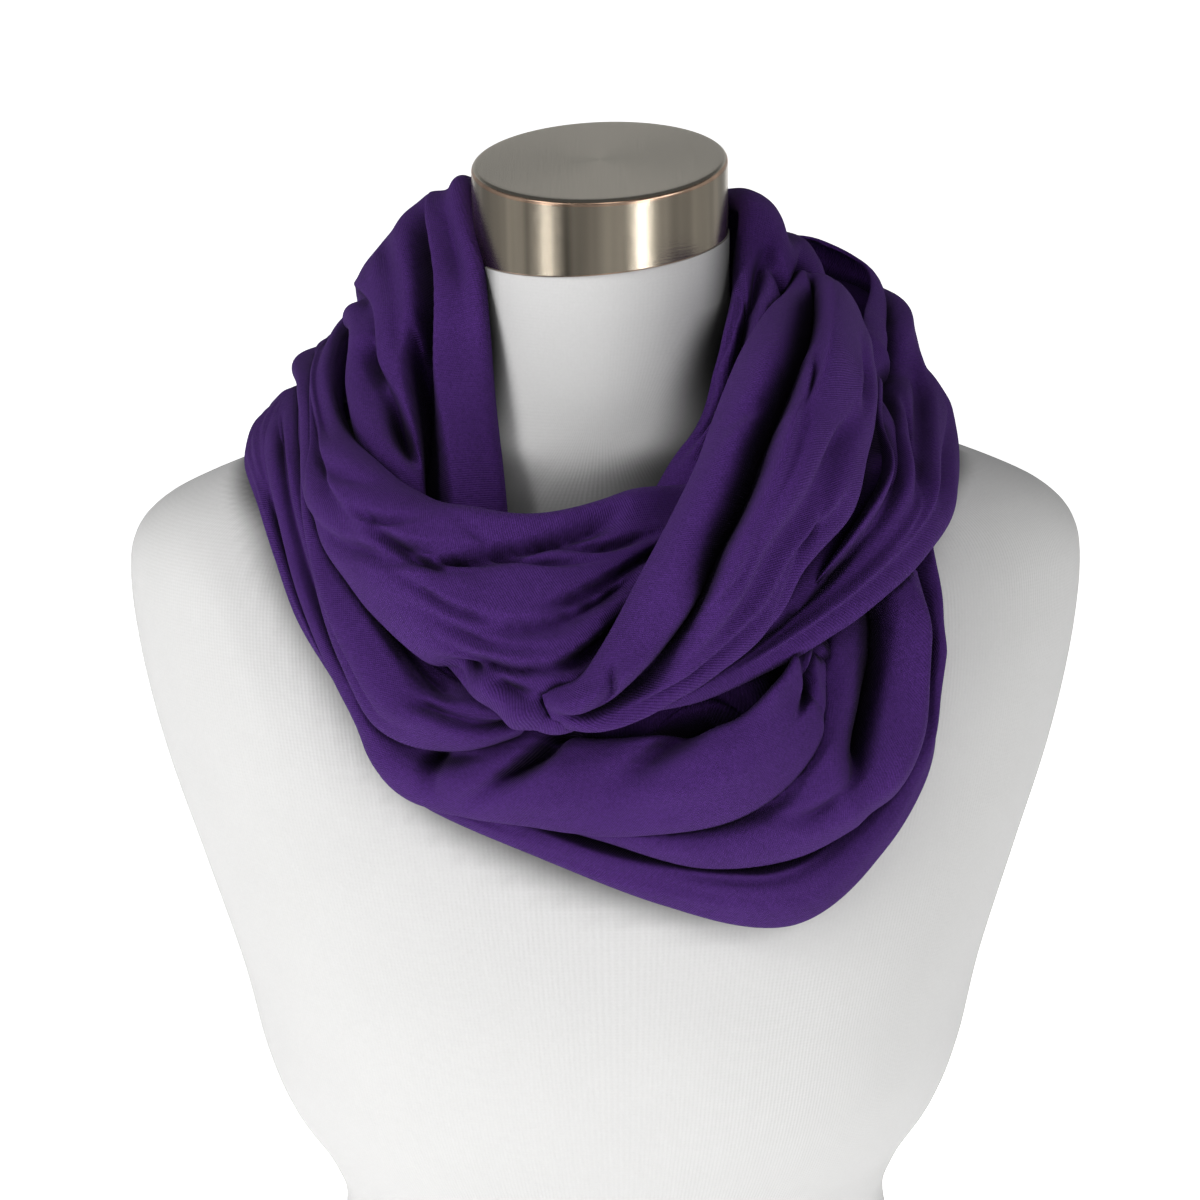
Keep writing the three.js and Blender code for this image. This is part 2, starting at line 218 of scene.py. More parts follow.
def brushed_material(name, colour, around):
    """Brushed metal: long fine scratches round the side, or across the top, with painted reflection
    streaks in its colour.
    """
    material, tree, make, shader = new_material(name)
    link = tree.links.new
    _, remap = calculator(make, link)
    place = make("ShaderNodeTexCoord")
    mapping = make("ShaderNodeMapping")
    mapping.inputs["Scale"].default_value = (6, 6, 900) if around else (900, 12, 12)
    link(place.outputs["Object"], mapping.inputs["Vector"])
    scratch = make("ShaderNodeTexNoise", Scale=3.0, Detail=5.0, Roughness=0.75)
    link(mapping.outputs["Vector"], scratch.inputs["Vector"])
    rough = remap(scratch.outputs["Fac"], (0, 1), BRUSHED_ROUGHNESS)
    link(rough, shader.inputs["Roughness"])
    bump = make("ShaderNodeBump", Strength=0.12, Distance=0.0003)
    link(scratch.outputs["Fac"], bump.inputs["Height"])
    link(bump.outputs["Normal"], shader.inputs["Normal"])
    # painted reflection: dark and bright streaks in the base colour stand in for mirrored
    # surroundings
    painted_streak_mapping = make("ShaderNodeMapping")
    painted_streak_mapping.inputs["Scale"].default_value = (1, 1, 0.02)
    link(place.outputs["Object"], painted_streak_mapping.inputs["Vector"])
    painted_streak_noise = make("ShaderNodeTexNoise", Scale=42.0 if around else 5.0, Detail=3.0, Roughness=0.5)
    link(painted_streak_mapping.outputs["Vector"], painted_streak_noise.inputs["Vector"])
    darkest = SIDE_PAINTED_STREAK_DARKEST if around else TOP_PAINTED_STREAK_DARKEST
    painted_streak_colour = tone_ramp(make, link, painted_streak_noise.outputs["Fac"], 0.35, 0.65,
                     [[c * darkest for c in colour], [c * PAINTED_STREAK_BRIGHTEST for c in colour]])
    link(painted_streak_colour, shader.inputs["Base Color"])
    shader.inputs["Metallic"].default_value = 1.0
    shader.inputs["Anisotropic"].default_value = 0.5
    return material


SCARF_COLOUR = (0.0520, 0.0172, 0.122)
FORM_COLOUR = (0.560, 0.557, 0.552)
NICKEL = (0.52, 0.455, 0.36)
NICKEL_TOP = (0.50, 0.46, 0.385)
COPPER = (0.62, 0.43, 0.31)

scarf_knit = knit_material("scarf_knit", SCARF_COLOUR, wale=0.76, course=0.66, relief=0.55,
                           sheen=0.05, tint=(0.62, 0.45, 0.85), blotch=0.10)
form_knit = knit_material("form_knit", FORM_COLOUR, wale=1.6, course=1.3, relief=0.12,
                          sheen=0.1, tint=(1, 1, 1), blotch=0.010)
cap_side = brushed_material("cap_side", NICKEL, around=True)
cap_top = brushed_material("cap_top", NICKEL_TOP, around=False)
cap_rim = brushed_material("cap_rim", COPPER, around=True)


# ---- meshes --------------------------------------------------------------------------------
def make_object(name, points, faces, materials, uv=None, slots=None):
    """points are in millimetres; uv holds metres of cloth for each point."""
    mesh = bpy.data.meshes.new(name)
    mesh.from_pydata((np.asarray(points) * MM).tolist(), [], faces)
    for material in materials:
        mesh.materials.append(material)
    if slots is not None:
        mesh.polygons.foreach_set("material_index", slots)
    mesh.polygons.foreach_set("use_smooth", [True] * len(mesh.polygons))
    if uv is not None:
        layer = mesh.uv_layers.new(name="cloth")
        corners = np.zeros(len(mesh.loops), int)
        mesh.loops.foreach_get("vertex_index", corners)
        layer.data.foreach_set("uv", (np.asarray(uv)[corners] * MM).ravel())
    mesh.update()
    piece = bpy.data.objects.new(name, mesh)
    bpy.context.scene.collection.objects.link(piece)
    return piece


def grid_faces(rows, cols, start=0, close_rows=False, close_cols=False, flip=False):
    i = np.arange(rows if close_rows else rows - 1)[:, None]
    k = np.arange(cols if close_cols else cols - 1)[None, :]
    i1, k1 = (i + 1) % rows, (k + 1) % cols
    quads = np.stack([i * cols + k, i * cols + k1, i1 * cols + k1, i1 * cols + k], -1)
    quads = quads.reshape(-1, 4) + start
    return (quads[:, ::-1] if flip else quads).tolist()


def surface_normals(points, closed):
    """Normals of a grid of points, from its own differences."""
    if closed:
        ds = np.roll(points, -1, 0) - np.roll(points, 1, 0)
    else:
        ds = np.gradient(points, axis=0)
    du = np.gradient(points, axis=1)
    normal = np.cross(ds, du)
    return normal / (np.linalg.norm(normal, axis=-1, keepdims=True) + 1e-9)


# ---- the dress form ------------------------------------------------------------------------
FORM_RINGS = columns("z half_width front back squareness", [
    [0, 150, -100, 98, 2.3],     # flat base at the hips
    [45, 156, -106, 105, 2.3],
    [100, 147, -102, 102, 2.3],
    [155, 131, -93, 91, 2.3],
    [205, 119, -87, 80, 2.25],   # waist
    [235, 125, -97, 80, 2.25],
    [265, 140, -113, 84, 2.25],
    [295, 149, -124, 88, 2.3],
    [335, 157, -128, 93, 2.35],  # bust
    [380, 171, -120, 97, 2.4],
    [425, 186, -106, 97, 2.4],
    [465, 195, -92, 92, 2.4],
    [495, 198, -78, 82, 2.35],   # widest, at the closed armholes
    [512, 195, -68, 73, 2.3],
    [524, 184, -61, 66, 2.25],
    [533, 167, -57, 62, 2.2],
    [542, 144, -56, 60, 2.15],   # shoulder slope
    [550, 120, -56, 59, 2.1],
    [558, 95, -56, 58, 2.1],
    [567, 75, -55, 56, 2.0],
    [578, 62, -54, 53, 2.0],     # foot of the neck
    [592, 55, -53, 50, 2.0],
    [610, 52, -53, 48, 2.0],
])
NECK_CUT = (631.0, 0.055, 0.075)     # height, rise backwards, rise to the right
CAP_TOP = (664.5, 0.14, 0.028)
CAP_CENTRE_Y = -3.0
CAP_RADIUS = 51.5
RING_POINTS = 128
FORM_RINGS_BUILT = 133
FORM_GIRTH = 960.0                   # mm of cover round the form, for its knit
JOINT_GAP = 0.3                      # mm, between the neck and the cap


def cut_plane(plane, x, y):
    height, backwards, sideways = plane
    return height + backwards * (y - CAP_CENTRE_Y) + sideways * x


def build_torso():
    place = np.linspace(0, len(FORM_RINGS["z"]) - 1, FORM_RINGS_BUILT)
    ring = {key: through_rows(values, place)[:, None] for key, values in FORM_RINGS.items()}
    angle = np.linspace(0, 2 * math.pi, RING_POINTS, endpoint=False)[None, :]
    power = 2 / ring["squareness"]
    cos, sin = np.cos(angle), np.sin(angle)
    x = ring["half_width"] * np.sign(cos) * np.abs(cos) ** power
    middle, depth = (ring["front"] + ring["back"]) / 2, (ring["back"] - ring["front"]) / 2
    y = middle + depth * np.sign(sin) * np.abs(sin) ** power
    z = np.broadcast_to(ring["z"], x.shape)
    points = np.stack([x, y, z], -1)
    top = points[-1].copy()
    top[:, 2] = cut_plane(NECK_CUT, top[:, 0], top[:, 1]) - JOINT_GAP
    points = np.concatenate([points, top[None]], 0)
    rows = len(points)
    around = np.linspace(0, FORM_GIRTH, RING_POINTS, endpoint=False)
    uv = np.stack([np.broadcast_to(around, (rows, RING_POINTS)), points[..., 2]], -1).reshape(-1, 2)
    flat = points.reshape(-1, 3)
    faces = grid_faces(rows, RING_POINTS, close_cols=True)
    faces.append(list(range(RING_POINTS))[::-1])
    faces.append([(rows - 1) * RING_POINTS + k for k in range(RING_POINTS)])
    piece = make_object("dress_form", flat, faces, [form_knit], uv)
    piece.data.set_sharp_from_angle(angle=math.radians(50))
    outward = surface_normals(points, False)
    outward *= np.sign((outward[..., :2] * points[..., :2]).sum(-1).mean())
    return piece, points, outward


def build_cap():
    """Neck cap: straight brushed side, a small round edge and a flat brushed top."""
    around = 192
    side_rows, edge_rows = 12, 9
    chamfer, fillet = 0.6, 2.2
    angle = np.linspace(0, 2 * math.pi, around, endpoint=False)
    # radius, rise and zone: 0 rises in mm from the cut, 1 is a share of the side, 2 falls
    # in mm from the top
    profile = [(0.0, 0.0, 0), (CAP_RADIUS - chamfer, 0.0, 0), (CAP_RADIUS, chamfer, 0)]
    profile += [(CAP_RADIUS, share, 1) for share in np.linspace(0.02, 0.98, side_rows)]
    profile += [(CAP_RADIUS - fillet * (1 - math.cos(t)), -fillet * (1 - math.sin(t)), 2)
                for t in np.linspace(0, math.pi / 2, edge_rows)]
    profile += [(r, 0.0, 2) for r in (CAP_RADIUS - 4, 36, 20, 6)]
    points = []
    for radius, rise, zone in profile:
        x = radius * np.cos(angle)
        y = CAP_CENTRE_Y + radius * np.sin(angle)
        low, high = cut_plane(NECK_CUT, x, y), cut_plane(CAP_TOP, x, y)
        z = [low + rise, low + (high - fillet - low) * rise, high + rise][zone]
        points.append(np.stack([x, y, z], -1))
    points = np.array(points)
    rows = len(points)
    faces = grid_faces(rows, around, close_cols=True)
    faces.append([(rows - 1) * around + k for k in range(around)])
    # cap_rim on the bottom lip and where the top edge starts to turn, cap_top above that
    lip, edge, top = (row * around for row in (3, rows - 13, rows - 9))
    slots = []
    for face in faces:
        low = min(face)
        slots.append(1 if low >= top else (2 if low < lip or low >= edge else 0))
    piece = make_object("neck_cap", points.reshape(-1, 3), faces, [cap_side, cap_top, cap_rim],
                        slots=slots)
    piece.data.set_sharp_from_angle(angle=math.radians(40))
    return piece


# ---- the scarf -----------------------------------------------------------------------------
SECTION = "ix iy iz ox oy oz crown"
# a fold runs along the stretch from one row to another; it lies at three places across
# (0 the inner edge, 1 the outer), and rises, in mm, above the cloth round it (or sinks);
# its flanks towards the inner and the outer edge are each so many mm wide, and its crest
# leans so many mm towards the outer edge
FOLD = "start stop across_a across_b across_c rise inner outer lean"
# a short crease: where it is, how long and wide it is, how deep, and which way it slants
CREASE = "row across length width rise slant"

HEM_TURN = 2.0
ARC_POINTS = 101
HEM_POINTS = 10


def section_curve(width, crown, hem):
    """The C of a section, in millimetres across and outwards, for each station."""
    radius = np.minimum(hem, width / 3)[:, None]
    width, crown = width[:, None], crown[:, None]
    turn = np.linspace(HEM_TURN, 0, HEM_POINTS, endpoint=False)[None, :]
    first = np.stack([radius * (1 - np.cos(turn)), -radius * np.sin(turn)], -1)
    arc = np.linspace(0, math.pi, ARC_POINTS)[None, :]
    middle = np.stack([width * (1 - np.cos(arc)) / 2 + 0 * crown,
                       crown * np.maximum(np.sin(arc), 0) ** 0.8], -1)
    turn = turn[:, ::-1]
    last = np.stack([width - radius * (1 - np.cos(turn)), -radius * np.sin(turn)], -1)
    return np.concatenate([first, middle, last], 1)


FADE = 0.25              # the share of a fold's length over which each of its ends fades
FLANK_WOBBLE = 0.2       # how unevenly wide its flanks are
HEM_SHARE = 0.12         # the hems, as a share of the stretch's width


def fold_weights(fold, row, share, span, period):
    """How much of a fold is felt at each point: its fade along, and its shape across."""
    t = row - fold["start"]
    if period:
        t = t % period
    inside = np.clip(t / (fold["stop"] - fold["start"]), 0, 1)
    centre = (fold["across_a"] * (1 - inside) * (1 - 2 * inside)
              + 4 * fold["across_b"] * inside * (1 - inside)
              + fold["across_c"] * inside * (2 * inside - 1))
    fade = smooth_step(inside / FADE) * smooth_step((1 - inside) / FADE)
    wobble = 1 + FLANK_WOBBLE * np.sin(9.0 * inside + 5 * fold["across_b"])
    away = (share - centre) * span
    flank = np.where(away < 0, fold["inner"], fold["outer"]) * wobble
    return fade, np.exp(-((away / flank) ** 2))


def crease_rise(crease, place, station, width, along_mm, across_mm):
    dx = along_mm - np.interp(crease["row"], place, station)
    dy = across_mm - crease["across"] * np.interp(crease["row"], place, width)
    turn = math.radians(crease["slant"])
    p = dx * math.cos(turn) + dy * math.sin(turn)
    q = dy * math.cos(turn) - dx * math.sin(turn)
    q = q + 0.12 * p * np.sin(p / (0.35 * crease["length"]))     # a slight S along its length
    return crease["rise"] * np.exp(-((p / (0.5 * crease["length"])) ** 2)
                                   - (q / crease["width"]) ** 2)


def unevenness(place, count, share, along_mm, across_mm, closed, seed):
    """Slow unevenness of the whole stretch, and fine ripples that run along it."""
    if not closed:
        return (soft_noise(along_mm / 55, across_mm / 34, seed),
                soft_noise(along_mm / 70 + 3, across_mm / 7.5, seed + 7))
    turn = place / count * 2 * math.pi
    nx, nz = 2.2 * np.cos(turn), 2.2 * np.sin(turn)       # round a circle, so that it meets
    slow = np.array([[noise.noise(Vector((a, b + s * 1.7, seed + b))) for s in share[0]]
                     for a, b in zip(nx, nz)])
    fine = np.array([[noise.noise(Vector((a * 1.5, b * 1.5 + seed, s * 9))) for s in share[0]]
                     for a, b in zip(nx, nz)])
    return slow, fine


def wall_faces(stations, cols, closed, flip):
    """Faces of an outer skin, of an inner skin after it, and of the edges between them."""
    size = stations * cols
    faces = grid_faces(stations, cols, close_rows=closed, flip=flip)
    faces += grid_faces(stations, cols, size, close_rows=closed, flip=not flip)
    edge = [i * cols for i in range(stations)]
    pairs = list(zip(edge, edge[1:])) + ([(edge[-1], edge[0])] if closed else [])
    for a, b in pairs:
        quad = [a, b, b + size, a + size]
        faces.append(quad if not flip else quad[::-1])
        a, b = a + cols - 1, b + cols - 1
        quad = [b, a, a + size, b + size]
        faces.append(quad if not flip else quad[::-1])
    if closed:
        return faces
    for start, turn_face in ((0, False), ((stations - 1) * cols, True)):
        for k in range(start, start + cols - 1):
            quad = [k + 1, k, k + size, k + 1 + size]
            faces.append(quad[::-1] if turn_face != flip else quad)
    return faces


def build_stretch(name, rows, side, hem, stations, folds, creases=(), closed=False,
                  seed=1.0, drift=1.6, ripple=0.9, grain=0.0):
    """A thin shell swept through a table's sections; its skin's points and normals as well.

    side is which way the cloth crowns, hem the radius of its rolled edges, drift and ripple
    how uneven it is in mm, and grain how its knit slants, in degrees.
    """
    table = columns(SECTION, rows)
    count = len(rows)
    last = count if closed else count - 1
    place = np.linspace(0, last, stations, endpoint=not closed)
    at = {key: through_rows(values, place, closed) for key, values in table.items()}
    inner = np.stack([at["ix"], at["iy"], at["iz"]], -1)
    outer = np.stack([at["ox"], at["oy"], at["oz"]], -1)
    middle = (inner + outer) / 2
    if closed:
        tangent = np.roll(middle, -1, 0) - np.roll(middle, 1, 0)
    else:
        tangent = np.gradient(middle, axis=0)
    tangent /= np.linalg.norm(tangent, axis=1, keepdims=True)
    across = outer - inner
    width = np.linalg.norm(across, axis=1)
    across /= width[:, None]
    out = np.cross(tangent, across) * side
    out /= np.linalg.norm(out, axis=1, keepdims=True)
    curve = section_curve(width, at["crown"], hem)
    points = (inner[:, None, :] + across[:, None, :] * curve[..., :1]
              + out[:, None, :] * curve[..., 1:])
    normal = surface_normals(points, closed)
    outwards = np.sign((normal * out[:, None, :]).sum(-1).mean())
    normal = normal * outwards

    # how far along (rows) and across (0 to 1 over the arch, beyond it in the hems)
    arc_share = (1 - np.cos(np.linspace(0, math.pi, ARC_POINTS))) / 2
    hem_share = np.linspace(HEM_SHARE, 0, HEM_POINTS, endpoint=False)
    share = np.concatenate([-hem_share, arc_share, 1 + hem_share[::-1]])
    row = np.broadcast_to(place[:, None], curve.shape[:2])
    share = np.broadcast_to(share[None, :], curve.shape[:2])
    span = width[:, None]
    station = np.linalg.norm(np.diff(middle, axis=0, prepend=middle[:1]), axis=1).cumsum()
    along_mm = np.broadcast_to(station[:, None], row.shape)
    across_mm = share * span

    rise = np.zeros(row.shape)
    lean = np.zeros(row.shape)
    for values in folds:
        fold = dict(zip(FOLD.split(), values))
        fade, shape = fold_weights(fold, row, share, span, count if closed else None)
        rise += fold["rise"] * fade * shape
        lean += fold["lean"] * fade * shape
    for values in creases:
        crease = dict(zip(CREASE.split(), values))
        rise += crease_rise(crease, place, station, width, along_mm, across_mm)
    slow, fine = unevenness(place, count, share, along_mm, across_mm, closed, seed)
    rise += drift * slow + ripple * fine
    points = points + normal * rise[..., None] + across[:, None, :] * lean[..., None]

    normal = surface_normals(points, closed) * outwards
    skins = np.concatenate([points.reshape(-1, 3), (points - normal * WALL).reshape(-1, 3)])
    slant = math.radians(grain)
    u = along_mm * math.cos(slant) + across_mm * math.sin(slant)
    v = across_mm * math.cos(slant) - along_mm * math.sin(slant)
    uv = np.stack([u, v], -1).reshape(-1, 2)
    faces = wall_faces(stations, points.shape[1], closed, outwards < 0)
    piece = make_object(name, skins, faces, [scarf_knit], np.concatenate([uv, uv]))
    return piece, points, normal


# ---- painted shade, darker in deep folds: how open each bit of cloth is to what surrounds it ---
OPEN_RAYS = 12
OPEN_STEP = 2           # every second point each way
GOLDEN_ANGLE = 2.399963


def open_directions():
    """Directions spread evenly over a cosine-weighted half sphere, as x, y, z rows."""
    index = np.arange(OPEN_RAYS) + 0.5
    radius = np.sqrt(index / OPEN_RAYS)
    turn = index * GOLDEN_ANGLE
    height = np.sqrt(np.maximum(1 - radius ** 2, 0))
    return np.stack([radius * np.cos(turn), radius * np.sin(turn), height], -1)


def all_surfaces(pieces):
    corners, polygons = [], []
    for piece in pieces:
        start = len(corners)
        corners.extend(vertex.co.copy() for vertex in piece.data.vertices)
        polygons.extend([start + i for i in face.vertices] for face in piece.data.polygons)
    return BVHTree.FromPolygons(corners, polygons)


def stretch_to(values, shape):
    """A coarse grid of values brought to the full grid by straight lines."""
    rows = np.linspace(0, values.shape[0] - 1, shape[0])
    cols = np.linspace(0, values.shape[1] - 1, shape[1])
    part = np.stack([np.interp(rows, np.arange(values.shape[0]), column) for column in values.T], 1)
    return np.stack([np.interp(cols, np.arange(values.shape[1]), line) for line in part])


def softened(values, times):
    """Each value becomes the mean of itself and its eight neighbours, so many times."""
    for _ in range(times):
        wide = np.pad(values, 1, "edge")
        values = sum(wide[i:i + values.shape[0], k:k + values.shape[1]]
                     for i in range(3) for k in range(3)) / 9
    return values


def paint_hollow_shade(piece, points, normal, surfaces, reach=36.0, darkest=0.09, open_at=0.90,
                  steep=1.7, soften=0):
    """Write the painted shade, which darkens the colour in hollows, onto a piece's points.

    reach is how far, in mm, other surfaces still count; darkest is the painted shade of a closed
    corner; open_at is the free share that counts as fully open.
    """
    rows = np.unique(np.append(np.arange(0, points.shape[0], OPEN_STEP), points.shape[0] - 1))
    cols = np.unique(np.append(np.arange(0, points.shape[1], OPEN_STEP), points.shape[1] - 1))
    at = points[np.ix_(rows, cols)].reshape(-1, 3)
    up = normal[np.ix_(rows, cols)].reshape(-1, 3)
    side = np.cross(up, [0.31, 0.17, 0.93])
    side /= np.linalg.norm(side, axis=1, keepdims=True)
    third = np.cross(up, side)
    free = np.zeros(len(at))
    start = [Vector(p) for p in (at + up * 0.6) * MM]
    for x, y, z in open_directions():
        heading = [Vector(d) for d in side * x + third * y + up * z]
        for i, (origin, direction) in enumerate(zip(start, heading)):
            gap = surfaces.ray_cast(origin, direction, reach * MM)[3]
            free[i] += 1.0 if gap is None else (gap / (reach * MM)) ** 2
    free = free.reshape(len(rows), len(cols)) / OPEN_RAYS
    full = stretch_to(softened(free, soften), points.shape[:2])
    # painted shade: a colour factor, dark where other surfaces close round the point
    value = darkest + (1 - darkest) * smooth_step(full / open_at) ** steep
    layer = piece.data.attributes.new("painted_shade", "FLOAT", "POINT")
    skins = len(piece.data.vertices) // value.size
    layer.data.foreach_set("value", np.tile(value.ravel(), skins))


# ---- the scarf's stretches -----------------------------------------------------------------
CROSS_BAND = [
    [70, 30, 586, 92, 34, 580, 8],
    [74, -2, 604, 92, 2, 602, 12],
    [64, -38, 605, 103, -30, 590, 20],
    [51, -85, 596, 102, -65, 574, 24],
    [40, -108, 578, 98, -88, 560, 24],
    [32, -122, 562, 93, -109, 546, 22],
    [22, -132, 545, 78, -124, 530, 20],
    [12, -138, 530, 64, -134, 510, 18],
    [-2, -146, 507, 35, -146, 491, 14],
    [-12, -150, 495, 7, -153, 478, 9],
    [-24, -146, 491, -18, -149, 477, 6],
]
UPPER_TURN = [
    [36, -84, 553, 33, -120, 496, 8],          # front, under the cross band
    [15, -94, 550, 6, -136, 484, 12],
    [-10, -102, 545, -18, -150, 474, 16],
    [-33, -104, 543, -42, -146, 481, 20],
    [-55, -99, 547, -65, -130, 493, 25],
    [-73, -92, 555, -89, -106, 510, 23],
    [-88, -78, 562, -107, -83, 529, 18],
    [-102, -42, 567, -119, -48, 551, 13],
    [-108, 0, 580, -126, 5, 566, 12],          # over the left shoulder
    [-96, 52, 588, -122, 64, 560, 15],
    [-52, 90, 594, -66, 114, 550, 16],
    [10, 100, 597, 10, 124, 546, 16],          # middle of the back
    [56, 84, 616, 84, 112, 560, 14],
    [102, 58, 609, 124, 70, 564, 10],
    [98, 16, 594, 137, 24, 560, 12],           # over the right shoulder
    [92, -12, 585, 143, -4, 543, 15],
    [89, -54, 570, 139, -46, 534, 15],
    [91, -82, 558, 125, -80, 520, 20],
    [77, -105, 538, 94, -110, 503, 16],
    [56, -120, 516, 60, -126, 489, 14],
    [26, -134, 500, 30, -138, 480, 11],
    [4, -141, 491, 6, -144, 479, 8],
    [-10, -139, 488, -10, -141, 480, 5],
]
LEFT_STRAND = [
    [-114, 22, 566, -128, 24, 560, 6],
    [-112, -28, 557, -124, -28, 552, 7],
    [-103, -69, 545, -119, -62, 536, 9],
    [-92, -89, 526, -112, -82, 510, 11],
    [-76, -104, 508, -101, -97, 486, 14],
    [-58, -114, 490, -88, -111, 463, 16],
    [-42, -120, 482, -62, -124, 458, 16],
    [-20, -120, 480, -34, -124, 464, 12],
]
LOOP_UPPER = [
    [-124, 30, 562, -140, 30, 552, 6],
    [-122, -12, 558, -138, -12, 549, 6],
    [-116, -52, 541, -131, -46, 537, 7],
    [-101, -80, 505, -119, -72, 500, 9],
    [-84, -96, 478, -101, -94, 465, 11],
    [-56, -108, 471, -79, -112, 435, 14],
    [-20, -113, 474, -27, -128, 427, 16],
    [20, -115, 481, 12, -134, 427, 18],
    [52, -110, 488, 50, -136, 434, 20],
    [68, -98, 500, 80, -126, 455, 18],
    [72, -86, 516, 86, -112, 480, 14],
    [73, -78, 532, 85, -98, 508, 10],
]
LOOP_MIDDLE = [
    [-42, -108, 450, -54, -115, 433, 8],
    [-6, -111, 448, -8, -126, 421, 13],
    [32, -112, 447, 35, -133, 412, 16],
    [62, -106, 454, 75, -131, 415, 19],
    [78, -96, 474, 105, -120, 432, 21],
    [84, -88, 496, 120, -105, 455, 20],
    [84, -82, 516, 125, -93, 487, 18],
    [82, -76, 532, 122, -82, 514, 14],
]
NECK_TURN = [
    [-31, -76, 504, -74, -88, 508, 8],
    [-37, -68, 522, -84, -82, 530, 10],
    [-39, -60, 552, -93, -68, 554, 12],
    [-42, -46, 588, -103, -30, 576, 14],
    [-47, -29, 624, -102, -4, 592, 13],
    [-54, 10, 652, -103, 22, 592, 12],
    [-44, 47, 646, -88, 68, 578, 13],
    [0, 62, 634, 0, 88, 570, 16],
    [44, 48, 640, 86, 70, 576, 14],
    [58, 12, 645, 100, 24, 582, 12],
    [55, -10, 628, 98, 2, 580, 12],
    [49, -42, 604, 86, -26, 574, 12],
    [36, -54, 571, 67, -64, 559, 12],
    [16, -62, 537, 53, -80, 522, 10],
    [-2, -73, 512, 33, -89, 492, 8],
]
LOOP_OUTER = [
    [-128, 10, 558, -147, 6, 541, 7],
    [-124, -38, 544, -139, -40, 531, 7],
    [-111, -70, 508, -122, -72, 496, 7],
    [-92, -90, 474, -101, -90, 464, 8],
    [-68, -103, 450, -78, -106, 432, 9],
    [-27, -110, 436, -29, -118, 412, 11],
    [20, -113, 428, 19, -125, 393, 13],
    [62, -108, 434, 70, -123, 383, 15],
    [94, -97, 455, 107, -108, 408, 14],
    [110, -84, 482, 127, -94, 440, 12],
    [115, -74, 508, 130, -82, 474, 10],
    [112, -62, 530, 124, -64, 512, 8],
    [106, -20, 558, 124, -20, 552, 5],
    [100, 40, 562, 130, 40, 546, 8],
    [64, 82, 562, 82, 88, 506, 14],
    [0, 92, 552, 0, 92, 486, 18],
    [-64, 84, 558, -80, 88, 508, 14],
    [-110, 48, 562, -134, 46, 544, 9],
]

CROSS_FOLDS = [
    # start stop  across a b c     rise inner outer lean
    [1.0, 7.4, 0.40, 0.24, 0.42, -26, 6.5, 4.5, 0],    # the deep trough down its middle
    [5.2, 9.6, 0.30, 0.44, 0.68, -15, 3, 6, 0],
    [0.2, 9.2, 0.10, 0.10, 0.18, 5, 8, 9, 2],          # the left lobe
    [0.6, 8.5, 0.62, 0.48, 0.62, 8, 6, 10, -6],        # the right lobe, over the trough
    [2.4, 4.8, 0.26, 0.34, 0.40, 7, 3, 3, 0],          # small ridge down in the trough
    [3.2, 8.0, 0.74, 0.68, 0.72, -6, 2.5, 6, 0],
    [4.6, 9.4, 0.90, 0.86, 0.86, -5, 2.5, 5, 0],
    [7.6, 10.0, 0.35, 0.30, 0.30, 3, 4, 6, 0],
]
UPPER_FOLDS = [
    [1.2, 3.9, 0.06, 0.12, 0.36, -8, 2, 6, 0],         # the long crease below the neckline
    [0.2, 4.6, 0.02, 0.03, 0.14, 4, 5, 4, 0],
    [0.9, 3.4, 0.40, 0.52, 0.68, -5, 1.6, 5, 0],
    [0.2, 2.6, 0.28, 0.36, 0.48, -6, 1.6, 6, 0],
    [0.0, 2.3, 0.52, 0.62, 0.74, -9, 2.5, 7, 0],
    [0.0, 2.0, 0.70, 0.78, 0.88, -7, 2, 5, 0],
    [1.8, 3.2, 0.84, 0.90, 0.90, -8, 5, 3, 0],         # dent above the rolled bottom
    [3.6, 5.2, 0.42, 0.40, 0.36, -4, 1.6, 4, 0],
    [5.0, 9.5, 0.48, 0.42, 0.45, -5, 2, 6, 0],
    [6.2, 9.6, 0.74, 0.70, 0.74, -7, 2, 5, 0],
    [6.4, 9.2, 0.20, 0.16, 0.24, -5, 2, 5, 0],
    [7.0, 12.0, 0.62, 0.56, 0.6, -6, 4, 6, 0],
    [8.0, 13.0, 0.28, 0.26, 0.3, -7, 3, 8, 0],
    [9.0, 15.0, 0.50, 0.52, 0.45, 4, 7, 7, 0],
    [10.0, 14.5, 0.78, 0.80, 0.8, -6, 3, 6, 0],
    [11.6, 15.6, 0.06, 0.20, 0.16, -30, 22, 11, 0],    # hollow behind the lobes' tops
    [14.2, 20.5, 0.03, 0.06, 0.24, -20, 9, 7, 0],      # the dark pocket by the cross band
    [14.6, 18.6, 0.22, 0.22, 0.34, 5, 4, 4, 0],        # narrow ridge beyond it
    [14.4, 19.5, 0.32, 0.32, 0.44, -10, 2.4, 5, 0],
    [13.8, 20.0, 0.62, 0.60, 0.66, -7, 7, 3, 0],
    [14.5, 20.0, 0.84, 0.80, 0.82, -5, 3, 5, 0],
]
LEFT_FOLDS = [
    [1.6, 6.0, 0.02, 0.06, 0.2, -10, 6, 5, 0],         # the slit beside the drape
    [1.0, 6.8, 0.55, 0.60, 0.55, 3, 6, 6, 0],
    [0.4, 5.4, 0.80, 0.80, 0.82, -4, 2, 4, 0],
    [5.0, 7.0, 0.45, 0.5, 0.6, -6, 4, 3, 0],
]
